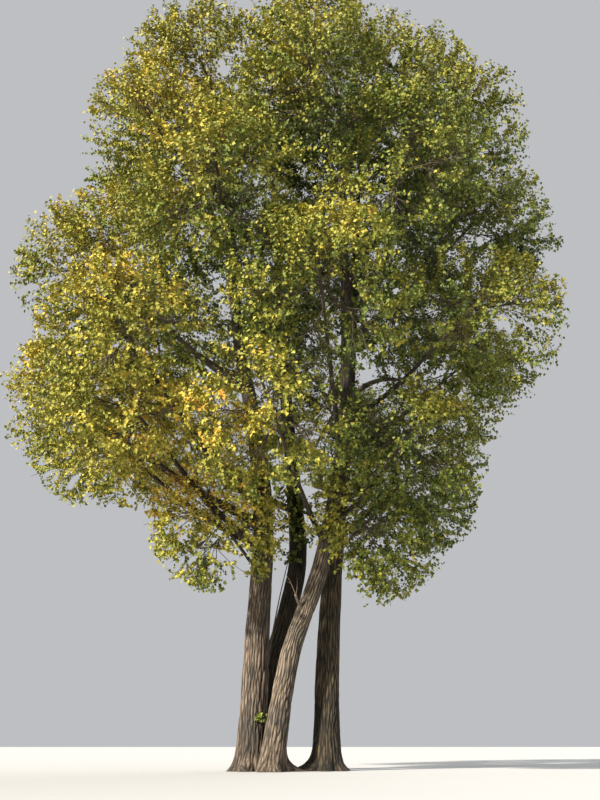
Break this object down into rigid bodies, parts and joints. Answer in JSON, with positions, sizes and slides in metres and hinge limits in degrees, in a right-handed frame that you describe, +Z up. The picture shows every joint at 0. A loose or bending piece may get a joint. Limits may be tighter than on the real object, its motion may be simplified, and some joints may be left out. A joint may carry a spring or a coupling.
{
  "type": "poplar tree",
  "caption": "Tall poplar in autumn leaf: stems rising from one root into a broad domed crown of separate foliage masses on long rising boughs.",
  "frame": {"origin": "middle of the flat cut under the trunk, at ground level", "axes": "+Z up along the tree's height, +X to the right and -Y towards the viewer as the tree is seen from the front"},
  "size_m": [27.5571, 25.4756, 38.451],
  "materials": {
    "bark": "rough, deeply furrowed grey-brown bark",
    "bough_bark": "rough, shallow furrowed dark bark",
    "leaf_olive": "satin olive-yellow autumn leaves",
    "leaf_gold": "satin golden autumn leaves",
    "leaf_green": "satin yellow-green leaves",
    "leaf_deep_green": "satin green leaves"
  },
  "bodies": {
    "root": {"trunk": "bark", "stem_leaning": "bark", "stem_back": "bark", "stem_right": "bark", "bough_low_left": "bough_bark", "bough_low_right": "bough_bark", "bough_skirt_1": "bough_bark", "bough_skirt_2": "bough_bark", "bough_skirt_3": "bough_bark", "bough_skirt_4": "bough_bark", "bough_skirt_5": "bough_bark", "bough_lower_1": "bough_bark", "bough_lower_2": "bough_bark", "bough_lower_3": "bough_bark", "bough_lower_4": "bough_bark", "bough_lower_5": "bough_bark", "bough_lower_6": "bough_bark", "bough_lower_7": "bough_bark", "bough_middle_1": "bough_bark", "bough_middle_2": "bough_bark", "bough_middle_3": "bough_bark", "bough_middle_4": "bough_bark", "bough_middle_5": "bough_bark", "bough_middle_6": "bough_bark", "bough_middle_7": "bough_bark", "foliage_low_left": "leaf_olive", "foliage_low_right": "leaf_gold", "foliage_skirt_1": "leaf_green", "foliage_skirt_2": "leaf_deep_green", "foliage_skirt_3": "leaf_olive", "foliage_skirt_4": "leaf_gold", "foliage_skirt_5": "leaf_green", "foliage_lower_1": "leaf_deep_green", "foliage_lower_2": "leaf_olive", "foliage_lower_3": "leaf_gold", "foliage_lower_4": "leaf_green", "foliage_lower_5": "leaf_deep_green", "foliage_lower_6": "leaf_olive", "foliage_lower_7": "leaf_gold", "foliage_middle_1": "leaf_green", "foliage_middle_2": "leaf_deep_green", "foliage_middle_3": "leaf_olive", "foliage_middle_4": "leaf_gold", "foliage_middle_5": "leaf_green", "foliage_middle_6": "leaf_deep_green", "foliage_middle_7": "leaf_olive", "foliage_upper_1": "leaf_gold", "foliage_upper_2": "leaf_green", "foliage_upper_3": "leaf_deep_green", "foliage_upper_4": "leaf_olive", "foliage_upper_5": "leaf_gold", "foliage_upper_6": "leaf_green", "foliage_crest_1": "leaf_deep_green", "foliage_crest_2": "leaf_olive", "foliage_crest_3": "leaf_gold", "foliage_crest_4": "leaf_green", "foliage_crest_5": "leaf_deep_green", "foliage_crest_6": "leaf_olive", "foliage_top_1": "leaf_gold", "foliage_inner_1": "leaf_green"}
  },
  "joints": []
}
